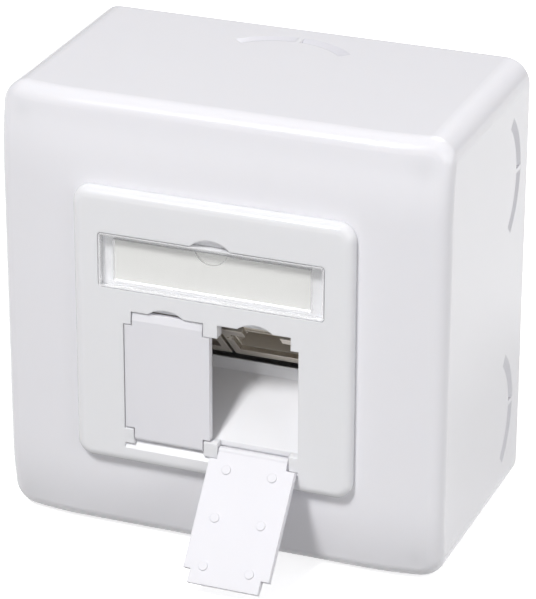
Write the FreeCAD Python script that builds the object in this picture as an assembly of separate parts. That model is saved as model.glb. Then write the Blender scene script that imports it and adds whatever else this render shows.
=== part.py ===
import FreeCAD, Part
import math
import os

# Surface-mounted network outlet with two slanted data ports. Millimetres.
# X runs to the right as seen from the room, Y runs into the wall, Z runs up.
# The origin is the centre of the base's back face, on the wall.

# Cap, the outer shell
cap_side = 80.0
cap_wall = 2.0
cap_face_wall = 2.0
cap_inner_r = 3.0
cap_corner_r = 4.4
cap_edge_r = 3.2
cap_draft = 0.2
crown_drop = 1.25
crown_width = 11.0
cap_rib_pitch = 16.0
cap_rib_count = 4
cap_rib_thick = 1.2
cap_rib_height = 1.2
cap_rib_clear = 1.5
knockout_chord = 17.8
knockout_rise = 3.9
knockout_from_wall = 6.1
knockout_width = 2.2
knockout_depth = 0.9
knockout_bridge = 0.8
knockout_from_corner = 18.0

# Base on the wall
base_gap = 0.4
base_floor = 2.2
base_rim_height = 9.0
base_rim_wall = 1.5
post_r = 3.8
post_inset = 7.8
web_thick = 1.6
web_reach = 7.0
web_below_post = 14.0
pilot_r = 1.25
pilot_depth = 16.0
wall_slot_inset = 10.4
wall_slot_r = 2.1
wall_slot_length = 8.0
cable_hole_r = 8.0
cable_hole_inset = 11.4

# Centre plate
plate_side = 50.0
plate_proud = 2.1
plate_corner_r = 3.0
plate_edge_r = 1.7
plate_lap = 2.0
skirt_gap = 0.4
skirt_wall = 1.4
skirt_depth = 3.0
plate_back = 1.1
plate_rib_pitch = 8.0
plate_rib_count = 4
plate_rib_thick = 1.0
boss_r = 4.0

# Label window and its card
label_inset = 4.95
label_from_top = 7.8
label_height = 9.6
label_depth = 2.0
label_gap = 0.15
label_corner_r = 0.5
tray_wall = 1.2
window_face = 1.0
window_end_wall = 2.4
window_rim = 1.0
window_play = 0.05
window_grip_r = 3.0
window_groove_width = 0.3
window_groove_depth = 0.25
window_groove_low = 0.42
window_groove_end = 1.4
window_groove_break = 1.9
card_thick = 0.3
card_gap = 0.1
grip_chord = 7.4
grip_rise = 1.6
notch_depth = 1.2

# Flap opening and flaps
bay_room = 0.05
tab_below_label = 3.85
tab_rise = 2.4
tab_in = 1.25
tab_inset = 1.4
hinge_inset = 1.65
hinge_from_edge = 3.9
pocket_height = 3.0
pivot_up = 1.5
nail_from_tab = 6.75
nail_chord = 6.3
nail_rise = 1.1
flap_thick = 1.3
flap_gap = 0.2
flap_split = 0.3
flap_bevel = 0.35
flap_fold = 0.85
pivot_back = 0.7
pin_r = 0.40
pin_play = 0.07
pin_reach = 0.8
swing_gap = 0.25
swing_reach = 7.0
open_angle = 141.0
pip_r = 0.8
pip_high = 0.2
pip_first_row = 3.3
pip_last_row = 3.35
pip_first_column = 3.6
pip_last_column = 3.85

# Chute behind the flaps
ramp_angle = 40.0
ramp_start_back = 1.55
ramp_run = 10.0
ramp_wall = 1.6
ledge_rise = 2.2
ledge_thick = 1.35
ledge_flat = 0.2
chute_wall = 1.2

# Slanted, screened port unit
face_overhang = 0.585
face_above_ledge = 1.32
face_slope = 45.0
housing_wall = 0.8
unit_gap = 0.3
port_pitch = 15.7
port_width = 11.8
port_height = 6.4
port_margin = 0.2
latch_width = 6.3
latch_height = 1.1
latch_roof = 0.3
face_slot = 0.7
face_slot_depth = 1.3
dimple_r = 0.6
dimple_core_r = 0.3
dimple_depth = 0.3
dimple_from_slot = 1.37
dimple_high = 7.35
jack_gap = 0.8
jack_side_gap = 0.3
jack_length = 18.6
jack_floor = 0.55
jack_back_wall = 5.95
jack_end_gap = 0.55
relief_start = 1.6
board_thick = 1.0
board_gap = 0.2
board_start = 1.2
seat_gap = 0.05
contact_count = 8
contact_pitch = 1.02
contact_width = 0.45
contact_thick = 0.3
contact_start = 3.6
contact_spring = 7.0
contact_rise = 24.7
block_end_gap = 0.6
block_width = 5.5
block_gap = 1.0
block_start_gap = 1.5
block_end_clear = 0.7
block_top_gap = 0.3
wire_count = 8
wire_slot = 1.0
wire_slot_depth = 4.0
wire_lead = 1.4
wire_end_land = 2.4
blade_width = 2.5
blade_thick = 0.5
blade_slot = 0.4
blade_gap = 0.1
lid_groove_count = 3
lid_groove_pitch = 3.5
lid_groove_width = 1.2
lid_groove_depth = 0.3
lid_groove_inset = 5.0
cable_r = 2.8
clamp_gap = 1.0
clamp_width = 3.5
clamp_thick = 1.2
clamp_foot_land = 1.6
clamp_screw_r = 0.8
clamp_screw_length = 5.0
clamp_hole_spare = 0.8
clamp_head_r = 1.3
clamp_head_high = 1.0
tongue_reach = 5.0
tongue_inset = 1.0
tongue_gap = 4.95
earth_tab_start = 4.0
earth_tab_length = 9.0
earth_tab_low = 1.0
earth_tab_width = 4.8
earth_tab_thick = 0.8
earth_hole_r = 0.9
earth_hole_inset = 2.5

# Support frame and screws
frame_end = 5.0
frame_height = 52.0
frame_corner_r = 3.0
frame_thick = 1.0
frame_back = 5.7
frame_clear = 0.5
frame_slot_reach = 1.0
frame_hole_r = 3.0
frame_hole_inset_x = 9.0
frame_hole_inset_z = 8.0
lug_length = 10.0
lug_height = 6.4
lug_back = 0.8
screw_head_r = 2.9
screw_head_high = 1.2
screw_chamfer = 0.5
screw_recess_length = 3.2
screw_recess_width = 0.7
screw_recess_depth = 0.9
screw_r = 1.5
screw_play = 0.1
screw_past_frame = 1.5
thread_fit = 0.02
frame_screw_length = 12.0

# Overlap that joins two forms of one moulding, and how far a cutter runs past a face
join = 0.2
past = 1.0

# Port unit, in its own frame: along the way a plug goes in, and up its front face
port_floor = housing_wall + 2.0 * seat_gap + board_thick + jack_floor
jack_low = port_floor - jack_floor
jack_top = port_floor + port_height + latch_height + latch_roof
housing_height = jack_top + seat_gap + housing_wall
jack_start = housing_wall + seat_gap
port_depth = jack_start + jack_length - jack_back_wall
jack_width = port_pitch - jack_gap
housing_width = port_pitch + jack_width + 2.0 * (jack_side_gap + housing_wall)
hood_length = jack_start + jack_length + jack_end_gap
block_start = hood_length + block_start_gap
block_pitch = block_width + block_gap
block_length = housing_width - 2.0 * (housing_wall + block_end_gap)
block_high = housing_height - housing_wall - block_top_gap
wire_pitch = (block_length - 2.0 * wire_end_land) / (wire_count - 1)
housing_length = block_start + block_pitch + block_width + block_end_clear + housing_wall
sill_height = housing_height - housing_wall - cable_r
tongue_length = housing_length + tongue_reach
clamp_start = housing_length + clamp_gap
clamp_middle = clamp_start + clamp_width / 2.0
clamp_foot = sill_height + seat_gap
clamp_screw_out = cable_r + clamp_thick + clamp_head_r + screw_play
clamp_half = clamp_screw_out + clamp_foot_land

# Depths, from the plate's front to the wall
slope_angle = math.radians(face_slope)
ramp_slope = math.radians(ramp_angle)
face_back = ramp_start_back + ramp_run - face_overhang
cap_depth = face_back - plate_proud + tongue_length * math.cos(slope_angle) + tongue_gap + base_floor
plate_front = -(cap_depth + plate_proud)
cap_front = -cap_depth
plate_back_y = cap_front + plate_back
frame_y = plate_front + frame_back
label_floor_y = plate_front + label_depth
ramp_start_y = plate_front + ramp_start_back
ramp_end_y = ramp_start_y + ramp_run
ledge_back_y = ramp_end_y + ledge_thick

# Widths and heights
inner_half = cap_side / 2.0 - cap_wall - cap_draft
base_half = inner_half - base_gap
knockout_offset = cap_side / 2.0 - knockout_from_corner
screw_pitch = 2.0 * (inner_half - post_inset)
wall_slot_pitch = 2.0 * (base_half - wall_slot_inset)
cable_hole_z = base_half - cable_hole_inset
opening_half = plate_side / 2.0 - plate_lap
label_width = plate_side - 2.0 * label_inset
label_high = plate_side / 2.0 - label_from_top
label_low = label_high - label_height
label_mid = (label_low + label_high) / 2.0
tab_high = label_low - tab_below_label
bay_high = tab_high - tab_rise
hinge_low = -plate_side / 2.0 + hinge_from_edge
bay_low = hinge_low + pocket_height
bay_half = port_pitch + bay_room
chute_half = bay_half + chute_wall
tab_out = bay_half - tab_inset
hinge_out = bay_half - hinge_inset
hinge_x0 = tab_in + flap_gap
hinge_x1 = hinge_out - flap_gap
nail_x = tab_in + nail_from_tab
pivot_y = plate_front + pivot_back
pivot_z = hinge_low + pivot_up
pivot = FreeCAD.Vector(0, pivot_y, pivot_z)
ramp_end_z = bay_low + ramp_run * math.tan(ramp_slope)
ramp_drop = ramp_wall / math.cos(ramp_slope)
face_low = ramp_end_z + ledge_rise + face_above_ledge
face_origin = FreeCAD.Vector(0, plate_front + face_back, face_low)
frame_width = screw_pitch + 2.0 * frame_end


def box(x0, x1, y0, y1, z0, z1):
    corner = FreeCAD.Vector(x0, y0, z0)
    return Part.makeBox(x1 - x0, y1 - y0, z1 - z0, corner)


def rounded_square(half_x, half_z, radius, y, length):
    """Plate with rounded corners in front view, from y to y plus length."""
    solid = box(-half_x, half_x, y, y + length, -half_z, half_z)
    long_edges = [e for e in solid.Edges if abs(e.tangentAt(e.FirstParameter).y) > 0.9]
    return solid.makeFillet(radius, long_edges)


def along_x(points, x0, x1):
    """Outline in the YZ plane, extruded from x0 to x1."""
    vectors = [FreeCAD.Vector(x0, y, z) for y, z in points]
    face = Part.Face(Part.makePolygon(vectors + vectors[:1]))
    return face.extrude(FreeCAD.Vector(x1 - x0, 0, 0))


def rod_x(radius, x0, x1, y, z):
    start = FreeCAD.Vector(min(x0, x1), y, z)
    return Part.makeCylinder(radius, abs(x1 - x0), start, FreeCAD.Vector(1, 0, 0))


def rod_y(radius, y0, y1, x, z):
    start = FreeCAD.Vector(x, y0, z)
    return Part.makeCylinder(radius, y1 - y0, start, FreeCAD.Vector(0, 1, 0))


def rod_z(radius, z0, z1, x, y):
    start = FreeCAD.Vector(x, y, z0)
    return Part.makeCylinder(radius, z1 - z0, start, FreeCAD.Vector(0, 0, 1))


def fuse(shapes):
    return shapes[0].multiFuse(shapes[1:]).removeSplitter()


def mirrored(shape):
    return shape.mirror(FreeCAD.Vector(0, 0, 0), FreeCAD.Vector(1, 0, 0))


def spread(count, pitch):
    """Places of a centred row."""
    return [(number - (count - 1) / 2.0) * pitch for number in range(count)]


def scoop(chord, rise, x, z, y0, y1):
    """Round-ended cutter whose arc rises above height z by rise."""
    radius = (chord * chord / 4.0 + rise * rise) / (2.0 * rise)
    disc = rod_y(radius, y0, y1, x, z + rise - radius)
    above = box(x - chord, x + chord, y0, y1, z - join, z + rise + past)
    return disc.common(above)


def save(shape, node):
    if len(shape.Solids) == 1:
        shape = shape.Solids[0]
    shape.exportStep("parts/" + node + ".step")
    print(node, len(shape.Solids), round(shape.Volume, 2), shape.isValid())


def slanted(shape):
    """Move a shape from the port unit's own frame to its slanted place.

    In that frame Y is the way a plug goes in and Z runs up the front face.
    """
    turned = shape.copy()
    turned.rotate(FreeCAD.Vector(0, 0, 0), FreeCAD.Vector(1, 0, 0), face_slope)
    turned.translate(face_origin)
    return turned


# Cap

def drafted_block(half_back, half_front, radius, depth):
    """Block with flat sides that lean in a little from the wall to the room, its long edges rounded."""
    block = Part.makeWedge(-half_front, -depth, -half_front, -half_back, -half_back,
                           half_front, 0.0, half_front, half_back, half_back)
    long_edges = [e for e in block.Edges if e.BoundBox.YLength > depth / 2.0]
    return block.makeFillet(radius, long_edges)


def crowned_pillow():
    """Large soft-edged block whose flat front melts into a shallow crown."""
    radius = (crown_width ** 2 + crown_drop ** 2) / (2.0 * crown_drop)
    flat_half = cap_side / 2.0 - cap_edge_r - crown_width + cap_draft
    half = flat_half + radius
    deep = 4.0 * radius
    solid = box(-half, half, cap_front, cap_front + deep, -half, half)
    soft = [e for e in solid.Edges if e.BoundBox.YMax < cap_front + deep - past]
    soft += [e for e in solid.Edges if e.BoundBox.YLength > deep - past]
    return solid.makeFillet(radius, soft)


def rim_edges(solid):
    """Edges where the crowned front meets the four sides."""
    out_from = cap_side / 2.0 - cap_draft - cap_edge_r / 2.0
    front_until = cap_front + crown_drop + cap_edge_r / 2.0
    rim = []
    for edge in solid.Edges:
        span = edge.BoundBox
        out = max(-span.XMin, span.XMax, -span.ZMin, span.ZMax)
        if out > out_from and span.YMin > cap_front + crown_drop / 10.0 and span.YMax < front_until:
            rim.append(edge)
    return rim


def knockout_groove():
    """Two arc grooves about the Z axis, deep on the room side, fading to the wall."""
    radius = (knockout_chord ** 2 / 4.0 + knockout_rise ** 2) / (2.0 * knockout_rise)
    half_angle = math.degrees(math.asin(knockout_chord / 2.0 / radius))
    gap_angle = math.degrees(knockout_bridge / 2.0 / radius)
    slope = knockout_depth / knockout_width
    section = [
        FreeCAD.Vector(radius, 0, -knockout_depth),
        FreeCAD.Vector(radius + knockout_width + past / slope, 0, past),
        FreeCAD.Vector(radius, 0, past),
    ]
    face = Part.Face(Part.makePolygon(section + section[:1]))
    axis = FreeCAD.Vector(0, 0, 1)
    centre = FreeCAD.Vector(0, 0, 0)
    grooves = []
    for start in (90.0 - half_angle, 90.0 + gap_angle):
        arm = face.copy()
        arm.rotate(centre, axis, start)
        grooves.append(arm.revolve(centre, axis, half_angle - gap_angle))
    pair = Part.makeCompound(grooves)
    pair.translate(FreeCAD.Vector(0, -knockout_from_wall - radius, cap_side / 2.0 - cap_draft / 3.0))
    return pair


def turned_about_y(shape, turn):
    """Copy of a shape turned about the cap's axis."""
    turned = shape.copy()
    turned.rotate(FreeCAD.Vector(0, 0, 0), FreeCAD.Vector(0, 1, 0), turn)
    return turned


def make_cap():
    half = cap_side / 2.0
    outer = drafted_block(half, half - cap_draft, cap_corner_r, cap_depth + past)
    outer = outer.common(crowned_pillow())
    outer = outer.makeFillet(cap_edge_r, rim_edges(outer))
    inside_y = cap_front + cap_face_wall
    hollow = rounded_square(inner_half, inner_half, cap_corner_r - cap_wall, inside_y, cap_depth)
    inside_front = [e for e in hollow.Edges if e.BoundBox.YMax < inside_y + 0.01]
    hollow = hollow.makeFillet(cap_inner_r, inside_front)
    opening = rounded_square(opening_half, opening_half, cap_corner_r - cap_wall, cap_front - past,
                             cap_face_wall + 2.0 * past)
    shell = outer.cut([hollow, opening])
    # Upright ribs inside stiffen the side walls and guide the cap over the base
    rib_from = inside_y + cap_inner_r
    rib_to = -base_rim_height - cap_rib_clear
    ribs = []
    for place in spread(cap_rib_count, cap_rib_pitch):
        rib = box(place - cap_rib_thick / 2.0, place + cap_rib_thick / 2.0, rib_from, rib_to,
                  inner_half - cap_rib_height, inner_half + join)
        ribs += [turned_about_y(rib, turn) for turn in (0, 90, 180, 270)]
    shell = fuse([shell] + ribs)
    grooves = []
    for turn, side in ((0, 0), (180, 0), (90, -1), (90, 1), (270, -1), (270, 1)):
        groove = knockout_groove()
        groove.translate(FreeCAD.Vector(side * knockout_offset, 0, 0))
        grooves.append(turned_about_y(groove, turn))
    return shell.cut(grooves)


# Base

def make_wall_slot(x, z):
    """Slot for a wall screw, so that the box can be set level."""
    reach = wall_slot_length / 2.0 - wall_slot_r
    y0 = -base_floor - past
    ends = [rod_y(wall_slot_r, y0, past, x + side * reach, z) for side in (-1, 1)]
    middle = box(x - reach, x + reach, y0, past, z - wall_slot_r, z + wall_slot_r)
    return fuse(ends + [middle])


def make_wall_base():
    corner_r = cap_corner_r - cap_wall
    floor = rounded_square(base_half, base_half, corner_r, -base_floor, base_floor)
    rim = rounded_square(base_half, base_half, corner_r, -base_rim_height, base_rim_height)
    inside = base_half - base_rim_wall
    rim = rim.cut(rounded_square(inside, inside, corner_r / 2.0, -base_rim_height - past,
                                 base_rim_height + 2.0 * past))
    floor_y = -base_floor + join
    post_y = frame_y + frame_thick
    solids = [floor, rim]
    cuts = [rod_y(cable_hole_r, -base_floor - past, past, 0, cable_hole_z)]
    for x in (-screw_pitch / 2.0, screw_pitch / 2.0):
        solids.append(rod_y(post_r, post_y, floor_y, x, 0))
        cuts.append(rod_y(pilot_r, post_y - past, post_y + pilot_depth, x, 0))
        # Two webs brace each tall post from the floor
        for side in (-1, 1):
            root = side * (post_r - web_thick / 2.0)
            foot = side * (post_r + web_reach)
            outline = [(floor_y, root), (floor_y, foot), (post_y + web_below_post, root)]
            solids.append(along_x(outline, x - web_thick / 2.0, x + web_thick / 2.0))
    for x in (-wall_slot_pitch / 2.0, wall_slot_pitch / 2.0):
        for z in (-wall_slot_pitch / 2.0, wall_slot_pitch / 2.0):
            cuts.append(make_wall_slot(x, z))
    return fuse(solids).cut(cuts)


# Support frame and its screws

def frame_window():
    """Lowest and highest point of the frame's window, clear of the ramp and of the port unit's roof."""
    ramp_there = bay_low + (frame_y - ramp_start_y) * math.tan(ramp_slope)
    low = ramp_there - ramp_drop - frame_clear
    roof_y = face_origin.y - housing_height * math.sin(slope_angle)
    roof_z = face_origin.z + housing_height * math.cos(slope_angle)
    high = roof_z + (frame_y + frame_thick - roof_y) * math.tan(slope_angle) + frame_clear
    return low, high


def make_support_frame():
    back_y = frame_y + frame_thick
    front = frame_y - past
    behind = back_y + past
    low, high = frame_window()
    lug_inner = housing_width / 2.0 + seat_gap
    lug_outer = lug_inner + frame_thick
    plate = rounded_square(frame_width / 2.0, frame_height / 2.0, frame_corner_r, frame_y, frame_thick)
    plate = plate.cut(box(-lug_outer, lug_outer, front, behind, low, high))
    ahead = slanted(box(-frame_width, frame_width, -lug_length * 4.0, lug_back, -frame_height, frame_height))
    lugs = []
    for x in (-lug_outer, lug_inner):
        top = high - frame_clear
        lug = box(x, x + frame_thick, frame_y, frame_y + lug_length, top - lug_height, top)
        bridge = box(x, x + frame_thick, frame_y, back_y, top - join, high + join)
        lugs += [lug.cut(ahead), bridge]
    frame = fuse([plate] + lugs)
    hole_r = screw_r + screw_play
    cuts = [rod_y(hole_r, front, behind, 0, label_mid)]
    for x in (-screw_pitch / 2.0, screw_pitch / 2.0):
        cuts += [rod_y(hole_r, front, behind, x + side * frame_slot_reach, 0) for side in (-1, 1)]
        cuts.append(box(x - frame_slot_reach, x + frame_slot_reach, front, behind, -hole_r, hole_r))
    # Round lightening holes at the corners, as stamped frames have
    out_x = frame_width / 2.0 - frame_hole_inset_x
    out_z = frame_height / 2.0 - frame_hole_inset_z
    for x in (-out_x, out_x):
        cuts += [rod_y(frame_hole_r, front, behind, x, z) for z in (-out_z, out_z)]
    return frame.cut(cuts)


def pan_screw(x, z, y_under, length, shank_r):
    """Pan-head screw driven along +Y, its head's underside at y_under, with a cross recess."""
    top = y_under - screw_head_high
    head = rod_y(screw_head_r, top, y_under, x, z)
    crown = [e for e in head.Edges if e.BoundBox.YMax < top + 0.01]
    head = head.makeChamfer(screw_chamfer, crown)
    screw = fuse([head, rod_y(shank_r, y_under - join, y_under + length, x, z)])
    wide = screw_recess_length / 2.0
    tall = screw_recess_width / 2.0
    bottom = top + screw_recess_depth
    across = box(x - wide, x + wide, top - past, bottom, z - tall, z + tall)
    upright = box(x - tall, x + tall, top - past, bottom, z - wide, z + wide)
    return screw.cut([across, upright])


def make_frame_screws():
    shank_r = pilot_r - thread_fit
    places = (-screw_pitch / 2.0, screw_pitch / 2.0)
    return Part.makeCompound([pan_screw(x, 0, frame_y, frame_screw_length, shank_r) for x in places])


# Centre plate

def chute_outline():
    """Side view of the ramp and of the ledge at its inner end, whose top slopes away to the back."""
    ledge_top = ramp_end_z + ledge_rise
    foot_y = cap_front + ramp_wall / 3.0
    return [
        (ramp_start_y, bay_low),
        (ramp_end_y, ramp_end_z),
        (ramp_end_y, ledge_top),
        (ramp_end_y + ledge_flat, ledge_top),
        (ledge_back_y, ledge_top - ledge_thick + ledge_flat),
        (ledge_back_y, ramp_end_z - ramp_drop + ledge_thick * math.tan(ramp_slope)),
        (foot_y, bay_low - ramp_drop + (foot_y - ramp_start_y) * math.tan(ramp_slope)),
        (cap_front - join, bay_low - ramp_drop),
        (cap_front - join, bay_low),
    ]


def swing_space(x0, x1, inner, foot):
    """Space beyond the inner radius that a flap sweeps about its pins, with the running gap.

    The open flap's own space starts at the foot, measured from the pins.
    """
    outer = swing_reach
    arc_steps = 12
    points = []
    for step in range(arc_steps + 1):
        angle = math.radians(open_angle * step / arc_steps)
        points.append((pivot_y - outer * math.sin(angle), pivot_z + outer * math.cos(angle)))
    turn = math.radians(open_angle)
    side = pivot_back + swing_gap
    for along, across in ((outer, side), (foot, side), (foot, 0.0)):
        y = pivot_y - along * math.sin(turn) - across * math.cos(turn)
        z = pivot_z + along * math.cos(turn) - across * math.sin(turn)
        points.append((y, z))
    points.append((pivot_y, pivot_z + inner))
    space = along_x(points, x0, x1)
    return space.cut(rod_x(inner, x0 - past, x1 + past, pivot_y, pivot_z))


def hinge_pocket(x0, x1):
    """Room for a flap's knuckle between the two blocks that carry its pins."""
    trough = rod_x(pivot_back + flap_bevel, x0, x1, pivot_y, pivot_z)
    above = box(x0, x1, plate_front - past, ramp_start_y, pivot_z, bay_low + join)
    below = box(x0, x1, plate_front - past, pivot_y, hinge_low, pivot_z)
    return fuse([trough, above, below])


def front_openings():
    """Opening for both flaps through the plate's front, with the narrower stretch for their top tabs."""
    front = plate_front - past
    behind = cap_front + skirt_depth
    openings = [box(-bay_half, bay_half, front, behind, bay_low, bay_high)]
    for x0, x1 in ((-tab_out, -tab_in), (tab_in, tab_out)):
        openings.append(box(x0, x1, front, behind, bay_high - join, tab_high))
    return openings


def hinge_cuts():
    """Pockets, swing spaces, pin bearings and nail notches of both flaps."""
    cuts = []
    hole_r = pin_r + pin_play
    for side in (-1, 1):
        x0 = min(side * tab_in, side * hinge_out)
        x1 = max(side * tab_in, side * hinge_out)
        cuts.append(hinge_pocket(x0, x1))
        cuts.append(swing_space(x0, x1, pivot_back + swing_gap, 0.0))
        cuts.append(scoop(nail_chord, nail_rise, side * nail_x, tab_high, plate_front - past,
                          plate_front + notch_depth))
        pin_end = pin_reach + pin_play
        cuts.append(rod_x(hole_r, side * (tab_in - pin_end), side * (tab_in + join), pivot_y, pivot_z))
        cuts.append(rod_x(hole_r, side * (hinge_out - join), side * (hinge_out + pin_end), pivot_y, pivot_z))
    shoulder = bay_low + flap_gap - pivot_z - swing_gap
    cuts.append(swing_space(-bay_half, bay_half, shoulder, shoulder))
    return cuts


def label_cuts():
    """Label pocket, the finger notch above it and the screw hole in its floor."""
    front = plate_front - past
    half_x = label_width / 2.0 + label_gap
    half_z = label_height / 2.0 + label_gap
    pocket = rounded_square(half_x, half_z, label_corner_r + label_gap, front, label_floor_y - front)
    pocket.translate(FreeCAD.Vector(0, 0, label_mid))
    notch = scoop(grip_chord, grip_rise, 0, label_high, front, plate_front + notch_depth)
    hole = rod_y(screw_r + screw_play, label_floor_y - past, frame_y + past, 0, label_mid)
    seat = rod_y(screw_head_r + unit_gap, label_floor_y - past, label_floor_y + screw_head_high, 0, label_mid)
    return [pocket, notch, hole, seat]


def make_centre_plate():
    half = plate_side / 2.0
    slab = rounded_square(half, half, plate_corner_r, plate_front, plate_proud)
    rim = [e for e in slab.Edges if e.BoundBox.YMax < plate_front + 0.01]
    slab = slab.makeFillet(plate_edge_r, rim)
    skirt_half = opening_half - skirt_gap
    skirt = rounded_square(skirt_half, skirt_half, cap_corner_r - cap_wall - skirt_gap, cap_front - join,
                           skirt_depth + join)
    hole_half = skirt_half - skirt_wall
    skirt = skirt.cut(box(-hole_half, hole_half, cap_front - past, cap_front + skirt_depth + past,
                          -hole_half, hole_half))
    tray = box(-label_width / 2.0 - tray_wall, label_width / 2.0 + tray_wall, cap_front - join, plate_back_y,
               label_low - tray_wall, label_high + tray_wall)
    rail_low = hinge_low - skirt_wall
    rail = box(-chute_half, chute_half, cap_front - join, plate_back_y, rail_low, bay_low - join)
    boss = rod_y(boss_r, cap_front, frame_y, 0, label_mid)
    shell = fuse([slab, skirt, tray, rail, boss]).cut(front_openings())
    ramp = along_x(chute_outline(), -chute_half, chute_half)
    cheek_outline = [(cap_front - join, bay_low - ramp_drop / 2.0), (ledge_back_y, ramp_end_z),
                     (ledge_back_y, face_low - unit_gap), (cap_front - join, tab_high)]
    cheek = along_x(cheek_outline, bay_half, chute_half)
    # Short ribs tie the ramp's foot to the rail that carries the hinges
    rib_back = cap_front + skirt_depth
    rib_outline = [(cap_front - join, rail_low), (rib_back, rail_low), (rib_back, bay_low),
                   (cap_front - join, bay_low)]
    ribs = [along_x(rib_outline, x - plate_rib_thick / 2.0, x + plate_rib_thick / 2.0)
            for x in spread(plate_rib_count, plate_rib_pitch)]
    plate = fuse([shell, ramp, cheek, mirrored(cheek)] + ribs)
    # Room for the slanted port unit and the frame's lugs beside it, with a gap all round
    room_half = housing_width / 2.0 + seat_gap + frame_thick + unit_gap
    room = box(-room_half, room_half, -unit_gap, housing_length, -unit_gap, housing_height + unit_gap)
    return plate.cut(hinge_cuts() + label_cuts() + [slanted(room)])


def make_plate_screw():
    under = label_floor_y + screw_head_high
    return pan_screw(0, label_mid, under, frame_y + frame_thick - under + screw_past_frame, screw_r)


# Label

def make_label_card():
    half = label_width / 2.0 - window_end_wall - card_gap
    inset = window_rim + card_gap
    return box(-half, half, label_floor_y - card_thick, label_floor_y, label_low + inset, label_high - inset)


def make_label_window():
    """Clear cover: a thin face with walls all round that reach the pocket's floor."""
    half = label_width / 2.0
    half_z = label_height / 2.0
    deep = label_depth - window_play
    back = plate_front + deep
    inside = half - window_end_wall
    block = rounded_square(half, half_z, label_corner_r, plate_front, deep)
    hollow = box(-inside, inside, plate_front + window_face, back + past,
                 -half_z + window_rim, half_z - window_rim)
    window = block.cut(hollow)
    # Thumb grip, a half-round thickening behind the top edge
    grip = rod_y(window_grip_r, plate_front + window_face - join, back - card_thick - card_gap, 0, half_z)
    under_top = box(-inside, inside, plate_front, back, 0, half_z - window_rim + join)
    window = fuse([window, grip.common(under_top)])
    # Thin groove along the bottom rim, broken in the middle
    low = -half_z + window_groove_low
    groove = box(window_groove_break, half - window_groove_end, plate_front - past,
                 plate_front + window_groove_depth, low, low + window_groove_width)
    window = window.cut([groove, mirrored(groove)])
    window.translate(FreeCAD.Vector(0, 0, label_mid))
    return window


# Flaps

def make_flap():
    """Right-hand flap in its closed place, with its knuckle and pins."""
    x1 = bay_half - flap_gap
    low = bay_low + flap_gap
    inner = plate_front + flap_thick
    body = box(flap_split / 2.0, x1, plate_front, inner, low, bay_high - flap_gap)
    # Narrower tab at the top, its front leaning back above a fold line
    tab_top = tab_high - flap_gap
    tab_outline = [(plate_front, low + past), (plate_front, bay_high + flap_fold),
                   (plate_front + flap_bevel, tab_top), (inner, tab_top), (inner, low + past)]
    tab = along_x(tab_outline, tab_in + flap_gap, tab_out - flap_gap)
    web = box(hinge_x0, hinge_x1, plate_front, inner, pivot_z, low + past)
    knuckle = rod_x(pivot_back, hinge_x0, hinge_x1, pivot_y, pivot_z)
    pins = rod_x(pin_r, tab_in - pin_reach, hinge_out + pin_reach, pivot_y, pivot_z)
    # Low pips on the inner face, which rest on the plug's boot when the flap is closed
    first = pip_first_row
    last = tab_high - pivot_z - pip_last_row
    pips = []
    for x in (pip_first_column, bay_half - pip_last_column):
        for up in (first, (first + last) / 2.0, last):
            pips.append(rod_y(pip_r, inner - join, inner + pip_high, x, pivot_z + up))
    return fuse([body, tab, web, knuckle, pins] + pips)


def make_flap_left():
    return mirrored(make_flap())


def make_flap_right():
    flap = make_flap()
    flap.rotate(pivot, FreeCAD.Vector(1, 0, 0), open_angle)
    return flap


# Slanted port unit, drawn in its own frame

def port_places():
    return spread(2, port_pitch)


def port_outline(x, y0, y1, margin, latch_top):
    """Opening for a plug: its wide body and the step above it for its latch."""
    floor = port_floor - margin
    wide = port_width / 2.0 + margin
    narrow = latch_width / 2.0 + margin
    body = box(x - wide, x + wide, y0, y1, floor, port_floor + port_height + margin)
    latch = box(x - narrow, x + narrow, y0, y1, floor, latch_top)
    return fuse([body, latch])


def dimple_ring(x):
    """Ring-shaped dent on the front face, left by the pin that pushed the casting out of its mould."""
    ring = rod_y(dimple_r, -past, dimple_depth, x, dimple_high)
    return ring.cut(rod_y(dimple_core_r, -past, dimple_depth + past, x, dimple_high))


def clamp_holes(x, low, high):
    """Screw holes on both sides of a cable."""
    hole_r = clamp_screw_r + screw_play
    return [rod_z(hole_r, low, high, x + side * clamp_screw_out, clamp_middle) for side in (-1, 1)]


def make_shield_housing():
    half = housing_width / 2.0
    wall = housing_wall
    inside = half - wall
    hood = box(-half, half, 0, hood_length, 0, housing_height)
    hood = hood.cut(box(-inside, inside, wall, hood_length + past, wall, housing_height - wall))
    tub = box(-half, half, hood_length - join, housing_length, 0, sill_height)
    tub = tub.cut(box(-inside, inside, hood_length - past, housing_length - wall, wall, sill_height + past))
    tongue = box(-half + tongue_inset, half - tongue_inset, housing_length - join, tongue_length, 0, wall)
    solids = [hood, tub, tongue]
    slot = face_slot / 2.0
    cuts = [box(-slot, slot, -past, face_slot_depth, -past, housing_height + past)]
    for x in port_places():
        saddle = box(x - clamp_half, x + clamp_half, clamp_start, clamp_start + clamp_width, 0, sill_height)
        solids.append(saddle)
        cuts.append(port_outline(x, -past, jack_start + join, port_margin, housing_height + past))
        cuts.append(rod_y(cable_r, housing_length - wall - past, tongue_length + past, x, sill_height))
        hole_low = clamp_foot + clamp_thick - clamp_screw_length - clamp_hole_spare
        cuts += clamp_holes(x, hole_low, sill_height + past)
    for side in (-1, 1):
        cuts.append(dimple_ring(side * dimple_from_slot))
    return slanted(fuse(solids).cut(cuts))


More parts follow.
